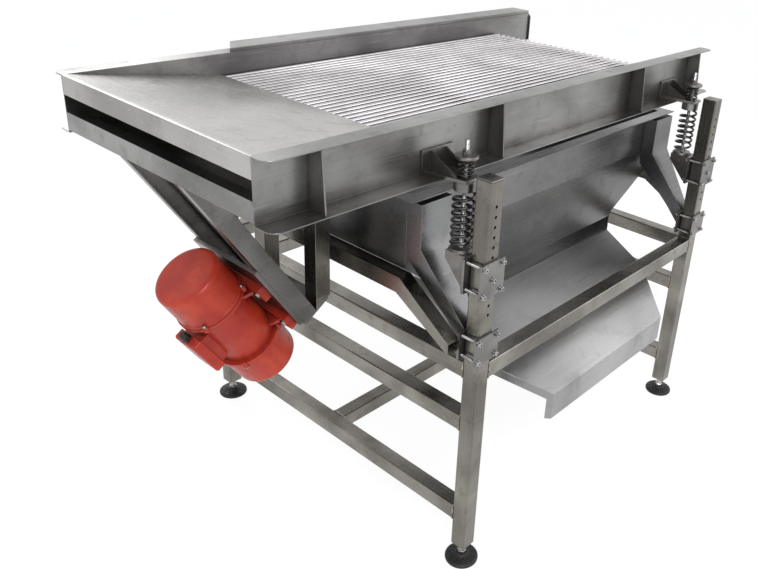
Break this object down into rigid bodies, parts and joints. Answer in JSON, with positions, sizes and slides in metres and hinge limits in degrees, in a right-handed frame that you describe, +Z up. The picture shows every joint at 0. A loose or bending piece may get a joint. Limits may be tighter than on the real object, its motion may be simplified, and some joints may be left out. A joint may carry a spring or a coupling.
{
  "type": "vibrating sieve",
  "caption": "Sprung deck of parallel round bars with an infeed pan, shaken by an underslung unbalance motor, over a sloping hopper and chute on a tube frame.",
  "frame": {"origin": "on the floor, under the middle of the machine's overall box", "axes": "+X along the deck from the infeed pan to the discharge end, +Y to the guarded far side, away from the chute's lip, +Z up"},
  "size_m": [2.0069, 1.304, 1.355],
  "materials": {
    "frame_steel": "ground and brushed stainless square tube, slightly warm, scuffed",
    "sheet_steel": "brushed stainless sheet with soft reflections and weld stains",
    "plate_steel": "cut stainless plate, deburred edges",
    "bar_steel": "bright drawn round bar",
    "spring_steel": "dark polished spring wire",
    "motor_paint": "orange red semi gloss enamel on castings",
    "foot_black": "black moulded levelling foot",
    "gland_black": "black nylon",
    "machined_steel": "machined steel and iron"
  },
  "bodies": {
    "frame": {"near_left_leg": "frame_steel", "near_right_leg": "frame_steel", "far_left_leg": "frame_steel", "far_right_leg": "frame_steel", "leg_caps": "frame_steel", "leg_plugs": "frame_steel", "near_mid_rail": "frame_steel", "far_mid_rail": "frame_steel", "inner_mid_rail": "frame_steel", "left_mid_rail": "frame_steel", "right_mid_rail": "frame_steel", "low_rails": "frame_steel", "chute_rails": "frame_steel", "near_left_upper_clamp": "plate_steel", "near_right_upper_clamp": "plate_steel", "far_left_upper_clamp": "plate_steel", "far_right_upper_clamp": "plate_steel", "lower_clamps": "plate_steel", "clamp_bolts": "bar_steel", "spring_cups": "plate_steel", "spring_rods": "bar_steel", "top_plates": "plate_steel", "main_springs": "spring_steel", "top_springs": "spring_steel", "hopper": "sheet_steel", "chute": "sheet_steel", "hopper_yokes": "frame_steel", "near_left_arm": "sheet_steel", "near_right_arm": "sheet_steel", "far_left_arm": "sheet_steel", "far_right_arm": "sheet_steel"},
    "deck": {"near_side_channel": "sheet_steel", "far_side_channel": "sheet_steel", "deck_ribs": "sheet_steel", "infeed_pan": "sheet_steel", "end_beam": "sheet_steel", "strut_beam": "plate_steel", "cross_bars": "plate_steel", "grate_bars": "bar_steel", "far_guard": "sheet_steel", "guard_end_plate": "sheet_steel", "spring_brackets": "plate_steel", "mount_channels": "plate_steel", "mount_struts": "plate_steel", "motor_base_plate": "plate_steel", "mount_end_plate": "plate_steel", "motor_housing": "motor_paint", "upper_motor_cap": "motor_paint", "lower_motor_cap": "motor_paint", "terminal_box": "motor_paint", "cable_gland": "gland_black", "motor_bolts": "bar_steel", "motor_bearings": "machined_steel", "stator_core": "machined_steel"},
    "rotor": {"rotor_shaft": "machined_steel", "eccentric_weights": "machined_steel"},
    "near_left_leveller": {"near_left_foot": "foot_black"},
    "near_right_leveller": {"near_right_foot": "foot_black"},
    "far_left_leveller": {"far_left_foot": "foot_black"},
    "far_right_leveller": {"far_right_foot": "foot_black"}
  },
  "joints": [
    {"name": "deck_shake", "type": "slide", "parent": "frame", "child": "deck", "axis": [0.829, 0, 0.5592], "range_m": [-0.004, 0.004], "stiffness_N_per_m": 150000, "springref_m": 0.0055, "deforming": ["main_springs", "top_springs"]},
    {"name": "rotor_spin", "type": "hinge", "parent": "deck", "child": "rotor", "pos_m": [-0.81185, 0.016, 0.72614], "axis": [-0.5592, 0, 0.829], "continuous": true},
    {"name": "near_left_level", "type": "slide", "parent": "frame", "child": "near_left_leveller", "axis": [0, 0, 1], "range_m": [-0.015, 0.015]},
    {"name": "near_right_level", "type": "slide", "parent": "frame", "child": "near_right_leveller", "axis": [0, 0, 1], "range_m": [-0.015, 0.015]},
    {"name": "far_left_level", "type": "slide", "parent": "frame", "child": "far_left_leveller", "axis": [0, 0, 1], "range_m": [-0.015, 0.015]},
    {"name": "far_right_level", "type": "slide", "parent": "frame", "child": "far_right_leveller", "axis": [0, 0, 1], "range_m": [-0.015, 0.015]}
  ]
}
